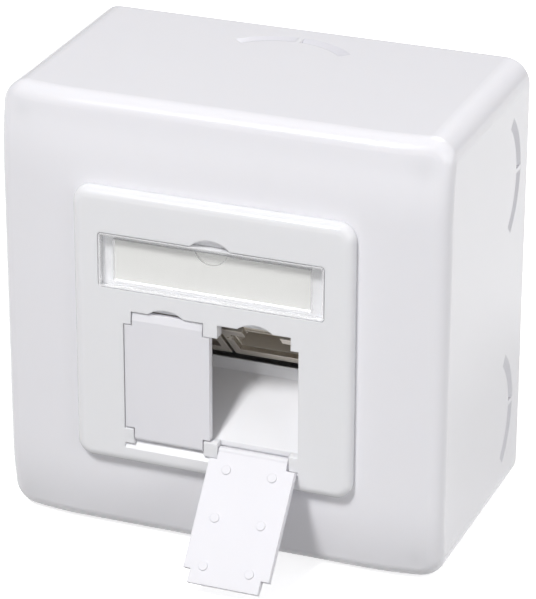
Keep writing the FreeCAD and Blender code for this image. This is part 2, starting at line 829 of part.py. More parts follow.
def make_shield_lid():
    half = housing_width / 2.0
    wall = housing_wall
    start = hood_length + seat_gap
    lid = box(-half, half, start, housing_length, sill_height + seat_gap, housing_height)
    lid = lid.cut(box(-half + wall, half - wall, start - past, housing_length - wall, sill_height - past,
                      housing_height - wall))
    through = (housing_length - wall - past, housing_length + past)
    cuts = [rod_y(cable_r, through[0], through[1], x, sill_height) for x in port_places()]
    # Pressed grooves stiffen the lid
    reach = half - lid_groove_inset
    middle = (start + housing_length) / 2.0
    for offset in spread(lid_groove_count, lid_groove_pitch):
        y0 = middle + offset - lid_groove_width / 2.0
        cuts.append(box(-reach, reach, y0, y0 + lid_groove_width, housing_height - lid_groove_depth,
                        housing_height + past))
    return slanted(lid.cut(cuts))


def make_jack(x):
    half = jack_width / 2.0
    block = box(x - half, x + half, jack_start, jack_start + jack_length, jack_low, jack_top)
    cavity = port_outline(x, jack_start - past, port_depth, 0.0, port_floor + port_height + latch_height)
    # Relief behind the mouth that the latch of a plug springs into, open at the top
    relief = box(x - latch_width / 2.0, x + latch_width / 2.0, jack_start + relief_start, port_depth,
                 port_floor + port_height - join, jack_top + past)
    return slanted(block.cut([cavity, relief]))


def make_contacts(x):
    """Eight bent spring wires that lie on the port's floor and rise to the back."""
    wires = []
    low = port_floor + seat_gap
    nose_r = contact_thick * 0.62
    for place in spread(contact_count, contact_pitch):
        at = x + place - contact_width / 2.0
        leg = box(at, at + contact_width, contact_start, port_depth - blade_gap, low, low + contact_thick)
        spring = box(at, at + contact_width, 0, contact_spring, 0, contact_thick)
        spring.rotate(FreeCAD.Vector(0, 0, 0), FreeCAD.Vector(1, 0, 0), contact_rise)
        spring.translate(FreeCAD.Vector(0, contact_start, low))
        nose = rod_x(nose_r, at, at + contact_width, contact_start, low + nose_r)
        wires.append(fuse([leg, spring, nose]))
    return slanted(Part.makeCompound(wires))


def make_circuit_board():
    half = housing_width / 2.0 - housing_wall - board_gap
    low = housing_wall + seat_gap
    board = box(-half, half, board_start, housing_length - housing_wall - board_gap, low, low + board_thick)
    return slanted(board)


def make_idc_block(number):
    """Termination block with one slot and one sloped lead-in for each wire."""
    y0 = block_start + number * block_pitch
    y1 = y0 + block_width
    blade_y = (y0 + y1) / 2.0
    half_x = blade_width / 2.0 + blade_gap
    half_y = blade_thick / 2.0 + blade_gap
    block = box(-block_length / 2.0, block_length / 2.0, y0, y1, jack_low, block_high)
    cuts = []
    for x in spread(wire_count, wire_pitch):
        cuts.append(box(x - wire_slot / 2.0, x + wire_slot / 2.0, y0 - past, y1 + past,
                        block_high - wire_slot_depth, block_high + past))
        cuts.append(box(x - half_x, x + half_x, blade_y - half_y, blade_y + half_y,
                        jack_low - past, block_high - wire_slot / 2.0))
        tip = FreeCAD.Vector(x, y0 - past, block_high - wire_lead)
        left = FreeCAD.Vector(x - wire_lead, y0 - past, block_high)
        right = FreeCAD.Vector(x + wire_lead, y0 - past, block_high)
        lead = Part.Face(Part.makePolygon([left, right, tip, left]))
        cuts.append(lead.extrude(FreeCAD.Vector(0, block_width + 2.0 * past, 0)))
    return slanted(block.cut(cuts))


def make_idc_blades(number):
    """Forked blades that cut through the wires' sleeves, one for each slot of the block."""
    middle = block_start + number * block_pitch + block_width / 2.0
    half_x = blade_width / 2.0
    half_y = blade_thick / 2.0
    top = block_high - wire_slot / 2.0 - blade_gap
    blades = []
    for x in spread(wire_count, wire_pitch):
        blade = box(x - half_x, x + half_x, middle - half_y, middle + half_y, jack_low, top)
        fork = box(x - blade_slot / 2.0, x + blade_slot / 2.0, middle - past, middle + past,
                   block_high - wire_slot_depth, top + past)
        blades.append(blade.cut(fork))
    return slanted(Part.makeCompound(blades))


def make_cable_clamp(x):
    """Arched strap over one cable, with a foot on each side."""
    y0 = clamp_start
    y1 = clamp_start + clamp_width
    arch = rod_y(cable_r + clamp_thick, y0, y1, x, clamp_foot)
    feet = box(x - clamp_half, x + clamp_half, y0, y1, clamp_foot, clamp_foot + clamp_thick)
    below = box(x - clamp_half, x + clamp_half, y0 - past, y1 + past, clamp_foot - clamp_half, clamp_foot)
    hollow = rod_y(cable_r, y0 - past, y1 + past, x, clamp_foot)
    holes = clamp_holes(x, clamp_foot - past, clamp_foot + clamp_thick + past)
    return slanted(fuse([arch, feet]).cut([below, hollow] + holes))


def make_clamp_screws():
    seat = clamp_foot + clamp_thick
    screws = []
    for x in port_places():
        for side in (-1, 1):
            at = x + side * clamp_screw_out
            shank = rod_z(clamp_screw_r, seat - clamp_screw_length, seat + join, at, clamp_middle)
            head = rod_z(clamp_head_r, seat, seat + clamp_head_high, at, clamp_middle)
            screws.append(fuse([shank, head]))
    return slanted(Part.makeCompound(screws))


def make_earth_tab():
    """Flat blade for the earth wire, welded to the housing's left side."""
    inner = -housing_width / 2.0
    outer = inner - earth_tab_thick
    start = hood_length + earth_tab_start
    end = start + earth_tab_length
    tab = box(outer, inner, start, end, earth_tab_low, earth_tab_low + earth_tab_width)
    hole_z = earth_tab_low + earth_tab_width / 2.0
    hole = rod_x(earth_hole_r, outer - past, inner + past, end - earth_hole_inset, hole_z)
    return slanted(tab.cut(hole))


def build():
    os.makedirs("parts", exist_ok=True)
    left, right = port_places()
    save(make_cap(), "cap")
    save(make_wall_base(), "wall_base")
    save(make_support_frame(), "support_frame")
    save(make_frame_screws(), "frame_screws")
    save(make_centre_plate(), "centre_plate")
    save(make_plate_screw(), "plate_screw")
    save(make_label_card(), "label_card")
    save(make_label_window(), "label_window")
    save(make_flap_left(), "flap_left")
    save(make_flap_right(), "flap_right")
    save(make_shield_housing(), "shield_housing")
    save(make_shield_lid(), "shield_lid")
    save(make_jack(left), "jack_left")
    save(make_jack(right), "jack_right")
    save(make_contacts(left), "contacts_left")
    save(make_contacts(right), "contacts_right")
    save(make_circuit_board(), "circuit_board")
    save(make_idc_block(0), "idc_block_front")
    save(make_idc_block(1), "idc_block_rear")
    save(make_idc_blades(0), "idc_blades_front")
    save(make_idc_blades(1), "idc_blades_rear")
    save(make_cable_clamp(left), "cable_clamp_left")
    save(make_cable_clamp(right), "cable_clamp_right")
    save(make_clamp_screws(), "clamp_screws")
    save(make_earth_tab(), "earth_tab")


build()
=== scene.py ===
import math

import bpy
from mathutils import Matrix, Vector


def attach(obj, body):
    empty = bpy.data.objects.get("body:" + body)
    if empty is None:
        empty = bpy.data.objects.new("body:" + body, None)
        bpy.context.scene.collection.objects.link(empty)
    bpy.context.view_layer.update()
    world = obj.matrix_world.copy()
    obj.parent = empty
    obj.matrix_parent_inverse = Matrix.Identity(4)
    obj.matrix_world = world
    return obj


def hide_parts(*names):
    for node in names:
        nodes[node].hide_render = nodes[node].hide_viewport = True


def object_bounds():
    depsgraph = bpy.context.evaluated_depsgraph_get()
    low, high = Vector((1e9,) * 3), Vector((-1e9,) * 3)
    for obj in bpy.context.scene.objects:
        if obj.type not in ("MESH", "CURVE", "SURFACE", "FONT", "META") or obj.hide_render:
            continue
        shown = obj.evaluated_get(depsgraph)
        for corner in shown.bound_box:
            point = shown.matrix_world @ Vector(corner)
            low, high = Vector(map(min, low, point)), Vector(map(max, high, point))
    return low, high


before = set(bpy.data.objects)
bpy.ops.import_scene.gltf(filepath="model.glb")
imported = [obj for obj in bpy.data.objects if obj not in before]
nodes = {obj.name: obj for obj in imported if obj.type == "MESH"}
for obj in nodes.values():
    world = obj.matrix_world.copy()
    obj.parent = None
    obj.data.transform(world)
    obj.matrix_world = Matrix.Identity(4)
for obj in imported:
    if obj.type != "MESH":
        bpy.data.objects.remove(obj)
cad_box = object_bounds()
scene = bpy.context.scene

# Camera. A long lens from the right and above, as a catalogue picture of a small product is taken.
# Its place, turn and focal length were fitted to the outlines of the cap and the centre plate.

CAMERA_PLACE = Vector((0.18708, -0.50232, 0.23029))
CAMERA_AZIMUTH = math.radians(21.16)
CAMERA_ELEVATION = math.radians(24.32)
CAMERA_ROLL = math.radians(0.16)
FOCAL_PIXELS = 3267.0
PICTURE_WIDTH, PICTURE_HEIGHT = 536, 599
PRINCIPAL_X, PRINCIPAL_Y = 269.5, 303.6
SENSOR = 36.0
NEAREST, FARTHEST = 0.01, 20.0

camera_data = bpy.data.cameras.new("studio_camera")
camera_data.sensor_width = SENSOR
camera_data.lens = FOCAL_PIXELS / PICTURE_HEIGHT * SENSOR
camera_data.shift_x = (PICTURE_WIDTH / 2 - PRINCIPAL_X) / PICTURE_HEIGHT
camera_data.shift_y = (PRINCIPAL_Y - PICTURE_HEIGHT / 2) / PICTURE_HEIGHT
camera_data.clip_start = NEAREST
camera_data.clip_end = FARTHEST
camera = bpy.data.objects.new("studio_camera", camera_data)
scene.collection.objects.link(camera)
tilt = Matrix.Rotation(math.pi / 2 - CAMERA_ELEVATION, 4, "X")
turn = Matrix.Rotation(CAMERA_AZIMUTH, 4, "Z") @ tilt @ Matrix.Rotation(CAMERA_ROLL, 4, "Z")
camera.matrix_world = Matrix.Translation(CAMERA_PLACE) @ turn
scene.camera = camera
scene.view_settings.view_transform = "Standard"
scene.view_settings.look = "None"

# Studio lamps. One softbox high on the left makes the highlight on the cap's top edge and the slanted
# shadow on the ramp. Weaker ones behind and on the right stand for a white surround, a faint one low in
# front for the light that comes back from the table, and an even white sky fills in.

AIM = Vector((0.0, -0.04, 0.0))
SOFTBOXES = {
    "key_softbox": ((-0.30, -0.90, 1.15), 0.22, 0.30, 15.6),
    "back_softbox": ((0.1, 0.8, 0.9), 0.6, 0.6, 2.9),
    "right_back_softbox": ((1.0, 0.75, 0.35), 0.6, 0.6, 1.2),
    "right_softbox": ((1.2, 0.12, 0.2), 0.7, 0.7, 3.2),
    "right_front_softbox": ((1.05, -0.55, 0.35), 0.6, 0.6, 2.8),
    "table_bounce": ((0.08, -0.34, -0.032), 0.5, 0.4, 0.09),
}
PURE_WHITE, SKY_STRENGTH = "FFFFFF", 0.23


def to_linear(hex_colour):
    """The linear RGBA of an sRGB colour written as six hex digits."""
    channels = [int(hex_colour[i:i + 2], 16) / 255 for i in (0, 2, 4)]
    return tuple(c / 12.92 if c <= 0.04045 else ((c + 0.055) / 1.055) ** 2.4 for c in channels) + (1.0,)


for name, (place, width, height, watts) in SOFTBOXES.items():
    softbox = bpy.data.lights.new(name, "AREA")
    softbox.shape = "RECTANGLE"
    softbox.size = width
    softbox.size_y = height
    softbox.energy = watts
    lamp = bpy.data.objects.new(name, softbox)
    lamp.location = place
    lamp.rotation_euler = (AIM - Vector(place)).to_track_quat("-Z", "Y").to_euler()
    lamp.visible_camera = False
    scene.collection.objects.link(lamp)

sky = bpy.data.worlds.new("white_surround")
sky.use_nodes = True
background = sky.node_tree.nodes["Background"]
background.inputs["Color"].default_value = to_linear(PURE_WHITE)
background.inputs["Strength"].default_value = SKY_STRENGTH
scene.world = sky

# Table, a wide sheet of matt white laminate that the part stands on. Its glow keeps it as white as the
# surround, and the part sees it only in reflections, so it throws no light up the walls.

TABLE_HALF, TABLE_TONE, TABLE_GLOW, TABLE_ROUGHNESS = 3.0, "FAFAFA", 0.6, 0.7

table_top = cad_box[0][2]
table_mesh = bpy.data.meshes.new("table")
corners = [(x * TABLE_HALF, y * TABLE_HALF, table_top) for x, y in ((-1, -1), (1, -1), (1, 1), (-1, 1))]
table_mesh.from_pydata(corners, [], [(0, 1, 2, 3)])
laminate = bpy.data.materials.new("white_table_laminate")
laminate.use_nodes = True
shader = laminate.node_tree.nodes["Principled BSDF"]
shader.inputs["Base Color"].default_value = to_linear(TABLE_TONE)
shader.inputs["Roughness"].default_value = TABLE_ROUGHNESS
shader.inputs["Emission Color"].default_value = to_linear(PURE_WHITE)
shader.inputs["Emission Strength"].default_value = TABLE_GLOW
table_mesh.materials.append(laminate)
table = bpy.data.objects.new("table", table_mesh)
scene.collection.objects.link(table)
table.visible_diffuse = False

# Cap, the deep outer shell. One moulding in white ABS, shot in a polished mould and pushed over the base.
# Its gloss carries the faint ripple of cooling, its tone drifts over the wide walls, and light sinks about
# a millimetre into it. In the knock-out grooves the faces that slope towards the front are painted a
# greyer tone, as painted shade for the shadow that falls into the grooves.

CAP_TONES = "F3F2F7", "F1F0F5"
POLISHED_GLOSS, SOFT_EDGE_MM = (0.17, 0.2), 0.18
RIPPLE_MM, RIPPLE_DEPTH_MM = 2.2, 0.008
DRIFT_MM, PATCH_MM = 40.0, 25.0
PLASTIC_IOR, MOULDED_EDGE_MM = 1.54, 0.12
GLOW_SHARE, GLOW_MM, GLOW_BY_COLOUR = 0.3, 1.0, (1.0, 0.95, 0.9)
RELIEF_STRENGTH, EDGE_SAMPLES = 0.3, 6
GROOVE_PAINTED_SHADE_TONE, GROOVES_WITHIN_MM, GROOVE_SLOPE = "E0DFE5", 11.5, -0.2


def add_node(tree, kind, feeds=(), **settings):
    """Adds a node. A setting is the node's own value or, if it has none of that name, a socket's. A feed
    joins one of its sockets to another node's socket, or gives it a plain value."""
    node = tree.nodes.new(kind)
    for name, value in settings.items():
        if hasattr(node, name):
            setattr(node, name, value)
        else:
            node.inputs[name.replace("_", " ")].default_value = value
    for socket, source in feeds:
        if isinstance(source, bpy.types.NodeSocket):
            tree.links.new(source, node.inputs[socket])
        else:
            node.inputs[socket].default_value = source
    return node


def new_finish(name):
    """A node material with its tree, its shader and the point in metres that patterns are drawn at."""
    finish = bpy.data.materials.new(name)
    finish.use_nodes = True
    tree = finish.node_tree
    place = add_node(tree, "ShaderNodeTexCoord").outputs["Object"]
    return finish, tree, tree.nodes["Principled BSDF"], place


def colour_between(tree, shader, factor, tones):
    """Colours the shader by a pattern that runs from the first hex colour to the second."""
    tone = add_node(tree, "ShaderNodeMix", [
        ("Factor", factor), ("A", to_linear(tones[0])), ("B", to_linear(tones[1]))], data_type="RGBA")
    tree.links.new(tone.outputs["Result"], shader.inputs["Base Color"])


def roughness_between(tree, shader, factor, gloss):
    """Lets the gloss vary by a pattern, from the first roughness to the second."""
    spread = add_node(tree, "ShaderNodeMapRange", [("Value", factor)], To_Min=gloss[0], To_Max=gloss[1])
    tree.links.new(spread.outputs["Result"], shader.inputs["Roughness"])


def raise_by(tree, shader, height, depth_mm, edge_mm):
    """Shades a pattern as if it stood out by depth_mm, and sharp edges as if rounded by edge_mm."""
    rounded = add_node(tree, "ShaderNodeBevel", Radius=edge_mm / 1000, samples=EDGE_SAMPLES)
    bump = add_node(tree, "ShaderNodeBump", [("Height", height), ("Normal", rounded.outputs["Normal"])],
                    Strength=RELIEF_STRENGTH, Distance=depth_mm / 1000)
    tree.links.new(bump.outputs["Normal"], shader.inputs["Normal"])


def moulded_plastic(name, tones, gloss, grain_mm, depth_mm, edge_mm=MOULDED_EDGE_MM):
    """Opaque moulded plastic: drifting tone, patchy gloss and the mould's own fine relief."""
    finish, tree, shader, place = new_finish(name)
    drift = add_node(tree, "ShaderNodeTexNoise", [("Vector", place)], Scale=1000 / DRIFT_MM, Detail=2.0)
    colour_between(tree, shader, drift.outputs["Fac"], tones)
    patch = add_node(tree, "ShaderNodeTexNoise", [("Vector", place)], Scale=1000 / PATCH_MM, Detail=1.0)
    roughness_between(tree, shader, patch.outputs["Fac"], gloss)
    grain = add_node(tree, "ShaderNodeTexNoise", [("Vector", place)], Scale=1000 / grain_mm, Detail=1.0)
    raise_by(tree, shader, grain.outputs["Fac"], depth_mm, edge_mm)
    shader.inputs["IOR"].default_value = PLASTIC_IOR
    shader.inputs["Subsurface Weight"].default_value = GLOW_SHARE
    shader.inputs["Subsurface Radius"].default_value = GLOW_BY_COLOUR
    shader.inputs["Subsurface Scale"].default_value = GLOW_MM / 1000
    return finish


def dress(piece, finish):
    """Gives a piece one finish in all its slots."""
    if not piece.data.materials:
        piece.data.materials.append(finish)
    for number in range(len(piece.data.materials)):
        piece.data.materials[number] = finish


polished_abs = moulded_plastic(
    "polished_moulded_abs", CAP_TONES, POLISHED_GLOSS, RIPPLE_MM, RIPPLE_DEPTH_MM, SOFT_EDGE_MM)
tree, shader = polished_abs.node_tree, polished_abs.node_tree.nodes["Principled BSDF"]
point = add_node(tree, "ShaderNodeTexCoord")
depth = add_node(tree, "ShaderNodeSeparateXYZ", [("Vector", point.outputs["Object"])])
facing = add_node(tree, "ShaderNodeSeparateXYZ", [("Vector", point.outputs["Normal"])])
near_wall = add_node(tree, "ShaderNodeMath", [
    (0, depth.outputs["Y"]), (1, -GROOVES_WITHIN_MM / 1000)], operation="GREATER_THAN")
sloping = add_node(tree, "ShaderNodeMath", [
    (0, facing.outputs["Y"]), (1, GROOVE_SLOPE)], operation="LESS_THAN")
in_groove = add_node(tree, "ShaderNodeMath", [
    (0, near_wall.outputs["Value"]), (1, sloping.outputs["Value"])], operation="MULTIPLY")
# Painted shade: groove faces that slope towards the front get a greyer tone.
groove_painted_shade = add_node(tree, "ShaderNodeMix", [
    ("Factor", in_groove.outputs["Value"]), ("A", shader.inputs["Base Color"].links[0].from_socket),
    ("B", to_linear(GROOVE_PAINTED_SHADE_TONE))], data_type="RGBA")
tree.links.new(groove_painted_shade.outputs["Result"], shader.inputs["Base Color"])
dress(nodes["cap"], polished_abs)

# Wall base, a flat tray in the same ABS, screwed to the wall through its four slots. Nobody sees it once
# the cap is on, so its mould was only spark-eroded, which leaves an even satin grain.

BASE_TONES = "E8E8E6", "E2E2E0"
ERODED_GLOSS, ERODED_GRAIN_MM, ERODED_DEPTH_MM = (0.45, 0.55), 0.45, 0.03

eroded_abs = moulded_plastic(
    "spark_textured_abs", BASE_TONES, ERODED_GLOSS, ERODED_GRAIN_MM, ERODED_DEPTH_MM)
dress(nodes["wall_base"], eroded_abs)

# Support frame and cable clamps, stamped from sheet steel and zinc plated. The zinc is grey with a cold
# tint, streaked along the rolling direction, and dull in cloudy patches where the bath was slower.

ZINC_TONES, ZINC_GLOSS = ("CDD0D3", "B4B7BA"), (0.28, 0.42)
STREAK_MM, ZINC_DEPTH_MM, CLOUD_MM = 0.5, 0.01, 6.0
ROLLED_ALONG_X, STAMPED_EDGE_MM = (0.06, 1.0, 1.0), 0.08


def plated_metal(name, tones, gloss, stretch, grain_mm, depth_mm, edge_mm=STAMPED_EDGE_MM):
    """Plated metal with streaks that are stretched along the rolling or drawing direction."""
    finish, tree, shader, place = new_finish(name)
    along = add_node(tree, "ShaderNodeMapping", [("Vector", place)], Scale=stretch)
    streak = add_node(tree, "ShaderNodeTexNoise", [("Vector", along.outputs["Vector"])],
                      Scale=1000 / grain_mm, Detail=3.0)
    colour_between(tree, shader, streak.outputs["Fac"], tones)
    cloud = add_node(tree, "ShaderNodeTexNoise", [("Vector", place)], Scale=1000 / CLOUD_MM, Detail=2.0)
    roughness_between(tree, shader, cloud.outputs["Fac"], gloss)
    raise_by(tree, shader, streak.outputs["Fac"], depth_mm, edge_mm)
    shader.inputs["Metallic"].default_value = 1.0
    return finish


zinc_sheet = plated_metal(
    "zinc_plated_sheet_steel", ZINC_TONES, ZINC_GLOSS, ROLLED_ALONG_X, STREAK_MM, ZINC_DEPTH_MM)
for name in ("support_frame", "cable_clamp_left", "cable_clamp_right"):
    dress(nodes[name], zinc_sheet)

# Screws, cold headed from steel wire, rolled and zinc plated, so they are brighter than the sheet. Rolled
# threads stand out of the plain shanks of the frame's two screws and of the plate screw, which bite into
# the base's posts and the frame's lug. The clamps' short screws are left plain.

WIRE_TONES, WIRE_GLOSS = ("D6D8DA", "BEC1C4"), (0.2, 0.32)
EVEN_GRAIN, WIRE_GRAIN_MM, WIRE_DEPTH_MM = (1.0, 1.0, 1.0), 0.3, 0.006
THREAD_PITCH_MM, THREAD_RIDGE_MM = 0.7, 0.22
STEPS_PER_TURN, RIDGE_SIDES = 16, 3
INTO_THE_WALL = math.radians(-90)
FRAME_THREAD_STARTS, FRAME_SHANK_MM, FRAME_THREAD_MM = [(-30.0, -39.4, 0.0), (30.0, -39.4, 0.0)], 1.46, 10.0
PLATE_THREAD_STARTS, PLATE_SHANK_MM, PLATE_THREAD_MM = [(0.0, -41.6, 12.4)], 1.44, 3.0


def new_growth_tree(name, number_inputs, count_inputs=()):
    """A Geometry Nodes tree that takes a mesh and named sizes, and its group input's sockets."""
    tree = bpy.data.node_groups.new(name, "GeometryNodeTree")
    tree.interface.new_socket("Geometry", in_out="INPUT", socket_type="NodeSocketGeometry")
    for size in number_inputs:
        tree.interface.new_socket(size, in_out="INPUT", socket_type="NodeSocketFloat")
    for size in count_inputs:
        tree.interface.new_socket(size, in_out="INPUT", socket_type="NodeSocketInt")
    tree.interface.new_socket("Geometry", in_out="OUTPUT", socket_type="NodeSocketGeometry")
    return tree, add_node(tree, "NodeGroupInput").outputs


def end_tree(tree, placed, finish):
    """Ends a Geometry Nodes tree: the placed copies become one real mesh in one finish."""
    real = add_node(tree, "GeometryNodeRealizeInstances", [("Geometry", placed.outputs["Instances"])])
    coated = add_node(tree, "GeometryNodeSetMaterial", [("Geometry", real.outputs["Geometry"])],
                      Material=finish)
    add_node(tree, "NodeGroupOutput", [("Geometry", coated.outputs["Geometry"])])


def make_thread_tree(finish):
    """One rolled thread on every point of a mesh: a three-sided ridge swept along a helix."""
    tree, given = new_growth_tree("rolled_thread", ("Shank Radius", "Ridge", "Length", "Turns", "Tilt"))
    helix = add_node(tree, "GeometryNodeCurveSpiral", [
        ("Rotations", given["Turns"]), ("Start Radius", given["Shank Radius"]),
        ("End Radius", given["Shank Radius"]), ("Height", given["Length"])], Resolution=STEPS_PER_TURN)
    ridge = add_node(tree, "GeometryNodeCurvePrimitiveCircle", [("Radius", given["Ridge"])],
                     Resolution=RIDGE_SIDES)
    thread = add_node(tree, "GeometryNodeCurveToMesh", [
        ("Curve", helix.outputs["Curve"]), ("Profile Curve", ridge.outputs["Curve"])], Fill_Caps=True)
    turned = add_node(tree, "ShaderNodeCombineXYZ", [("X", given["Tilt"])])
    placed = add_node(tree, "GeometryNodeInstanceOnPoints", [
        ("Points", given["Geometry"]), ("Instance", thread.outputs["Mesh"]),
        ("Rotation", turned.outputs["Vector"])])
    end_tree(tree, placed, finish)
    return tree


def points_mesh(name, points_mm):
    """A mesh of loose points, given in millimetres."""
    mesh = bpy.data.meshes.new(name)
    mesh.from_pydata([[c / 1000 for c in point] for point in points_mm], [], [])
    return mesh


def grown(name, starting_mesh, tree, sizes):
    """A plain mesh piece that a node tree grows from a starting mesh."""
    piece = bpy.data.objects.new(name, starting_mesh)
    scene.collection.objects.link(piece)
    growth = piece.modifiers.new("growth", "NODES")
    growth.node_group = tree
    for item in tree.interface.items_tree:
        if item.item_type == "SOCKET" and item.in_out == "INPUT" and item.name in sizes:
            growth[item.identifier] = sizes[item.name]
    plain = bpy.data.meshes.new_from_object(piece.evaluated_get(bpy.context.evaluated_depsgraph_get()))
    piece.modifiers.clear()
    piece.data = plain
    return piece


bright_zinc = plated_metal(
    "zinc_plated_screw_wire", WIRE_TONES, WIRE_GLOSS, EVEN_GRAIN, WIRE_GRAIN_MM, WIRE_DEPTH_MM)
for name in ("frame_screws", "plate_screw", "clamp_screws"):
    dress(nodes[name], bright_zinc)
thread_tree = make_thread_tree(bright_zinc)
for name, starts, shank_mm, length_mm in (
        ("frame_screw_threads", FRAME_THREAD_STARTS, FRAME_SHANK_MM, FRAME_THREAD_MM),
        ("plate_screw_thread", PLATE_THREAD_STARTS, PLATE_SHANK_MM, PLATE_THREAD_MM)):
    threads = grown(name, points_mesh(name, starts), thread_tree, {
        "Shank Radius": shank_mm / 1000, "Ridge": THREAD_RIDGE_MM / 1000, "Length": length_mm / 1000,
        "Turns": length_mm / THREAD_PITCH_MM, "Tilt": INTO_THE_WALL})
    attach(threads, "socket")

# Centre plate, one white ABS moulding with the label pocket, the flap opening and the chute behind it. It
# comes from another batch than the cap, so its white is a little less cold. Its small rounded edges each
# catch a thin line of light.

PLATE_TONES = "F2F2F5", "F0F0F3"

plate_abs = moulded_plastic(
    "polished_moulded_abs_plate", PLATE_TONES, POLISHED_GLOSS, RIPPLE_MM, RIPPLE_DEPTH_MM, SOFT_EDGE_MM)
dress(nodes["centre_plate"], plate_abs)

# Label card, a strip of uncoated white card that lies in the plate's pocket. Its fibres give it a matt,
# very slightly mottled face under the clear window.

CARD_TONES, CARD_ROUGHNESS = ("EDEDEA", "E7E7E4"), 0.9
FIBRE_MM, FIBRE_DEPTH_MM, CARD_EDGE_MM = 0.6, 0.02, 0.03

card_stock, tree, shader, place = new_finish("uncoated_white_card")
fibres = add_node(tree, "ShaderNodeTexNoise", [("Vector", place)], Scale=1000 / FIBRE_MM, Detail=4.0)
colour_between(tree, shader, fibres.outputs["Fac"], CARD_TONES)
raise_by(tree, shader, fibres.outputs["Fac"], FIBRE_DEPTH_MM, CARD_EDGE_MM)
shader.inputs["Roughness"].default_value = CARD_ROUGHNESS
dress(nodes["label_card"], card_stock)

# Label window, clear polystyrene moulded in a polished tool and snapped over the card. Light bends at
# its thumb grip and its walls, and lamps reach the card through it. Near its ends and edges it is painted
# milky white, as painted light for the light that the thick wall gathers from inside the sheet.

STYRENE_IOR, STYRENE_ROUGHNESS, CLEAR_TINT, PASSING_TINT = 1.59, 0.02, "FFFFFF", "FCFCFC"
WAVE_MM, WAVE_DEPTH_MM, WINDOW_EDGE_MM = 6.0, 0.01, 0.15
HALF_WIDTH_MM, HALF_HEIGHT_MM, WINDOW_MIDDLE_MM = 20.05, 4.8, 12.4
RIM_PAINTED_LIGHT_TONE, RIM_ROUGHNESS, RIM_MM, RIM_PAINTED_LIGHT_SHARE = "FBFBFD", 0.2, 0.4, 0.85

clear_styrene, tree, shader, place = new_finish("clear_moulded_polystyrene")
wave = add_node(tree, "ShaderNodeTexNoise", [("Vector", place)], Scale=1000 / WAVE_MM, Detail=0.0)
raise_by(tree, shader, wave.outputs["Fac"], WAVE_DEPTH_MM, WINDOW_EDGE_MM)
shader.inputs["Base Color"].default_value = to_linear(CLEAR_TINT)
shader.inputs["Transmission Weight"].default_value = 1.0
shader.inputs["IOR"].default_value = STYRENE_IOR
shader.inputs["Roughness"].default_value = STYRENE_ROUGHNESS
ray = add_node(tree, "ShaderNodeLightPath")
lets_light_in = add_node(tree, "ShaderNodeMath", [
    (0, ray.outputs["Is Shadow Ray"]), (1, ray.outputs["Is Diffuse Ray"])], operation="MAXIMUM")
passing = add_node(tree, "ShaderNodeBsdfTransparent", Color=to_linear(PASSING_TINT))
clear = add_node(tree, "ShaderNodeMixShader", [
    ("Fac", lets_light_in.outputs["Value"]), (1, shader.outputs["BSDF"]), (2, passing.outputs["BSDF"])])
from_middle = add_node(tree, "ShaderNodeVectorMath", [
    ("Vector", place), (1, (0.0, 0.0, WINDOW_MIDDLE_MM / 1000))], operation="SUBTRACT")
outward = add_node(tree, "ShaderNodeVectorMath", [("Vector", from_middle.outputs["Vector"])],
                   operation="ABSOLUTE")
sides = add_node(tree, "ShaderNodeSeparateXYZ", [("Vector", outward.outputs["Vector"])])
near_end, near_rim = (
    add_node(tree, "ShaderNodeMapRange", [("Value", sides.outputs[way])],
             From_Min=(half_mm - RIM_MM) / 1000, From_Max=half_mm / 1000, To_Max=RIM_PAINTED_LIGHT_SHARE)
    for way, half_mm in (("X", HALF_WIDTH_MM), ("Z", HALF_HEIGHT_MM)))
# Painted light: near the ends and edges the clear shader gives way to a milky white one.
painted_rim_light_mask = add_node(tree, "ShaderNodeMath", [
    (0, near_end.outputs["Result"]), (1, near_rim.outputs["Result"])], operation="MAXIMUM")
painted_rim_light = add_node(tree, "ShaderNodeBsdfPrincipled", Base_Color=to_linear(RIM_PAINTED_LIGHT_TONE), Roughness=RIM_ROUGHNESS)
mixed = add_node(tree, "ShaderNodeMixShader", [
    ("Fac", painted_rim_light_mask.outputs["Value"]), (1, clear.outputs["Shader"]), (2, painted_rim_light.outputs["BSDF"])])
tree.links.new(mixed.outputs["Shader"], tree.nodes["Material Output"].inputs["Surface"])
dress(nodes["label_window"], clear_styrene)

# Dust flaps, two white ABS mouldings that snap by their pins into the plate below the opening. The left
# one is closed and the right one hangs open. Their mould was left satin, so they shine less than the
# plate around them.

FLAP_TONES, SATIN_GLOSS = ("EFEEF3", "EDECF1"), (0.58, 0.64)

satin_abs = moulded_plastic(
    "satin_moulded_abs", FLAP_TONES, SATIN_GLOSS, RIPPLE_MM, RIPPLE_DEPTH_MM, SOFT_EDGE_MM)
for side in ("left", "right"):
    dress(nodes["flap_" + side], satin_abs)

# Screened port unit, a zinc die casting with a nickel plate, and its pressed lid. The casting shows a
# fine sandy grain through the plate, with a warm grey tone and a dull shine.

NICKEL_TONES = "D0CAC0", "C2BBB0"
CAST_GLOSS, CAST_GRAIN_MM, CAST_DEPTH_MM, CAST_EDGE_MM = (0.34, 0.46), 0.3, 0.02, 0.15
PRESSED_GLOSS, PRESSED_DEPTH_MM = (0.3, 0.4), 0.008

cast_nickel = plated_metal("nickel_plated_die_casting", NICKEL_TONES, CAST_GLOSS, EVEN_GRAIN,
                           CAST_GRAIN_MM, CAST_DEPTH_MM, CAST_EDGE_MM)
dress(nodes["shield_housing"], cast_nickel)
pressed_nickel = plated_metal("nickel_plated_sheet", NICKEL_TONES, PRESSED_GLOSS, ROLLED_ALONG_X,
                              STREAK_MM, PRESSED_DEPTH_MM)
dress(nodes["shield_lid"], pressed_nickel)

# Port inserts, moulded in glass-filled polyester that is the screen's warm grey. The short fibres show
# as a faint fleck in a dull surface.

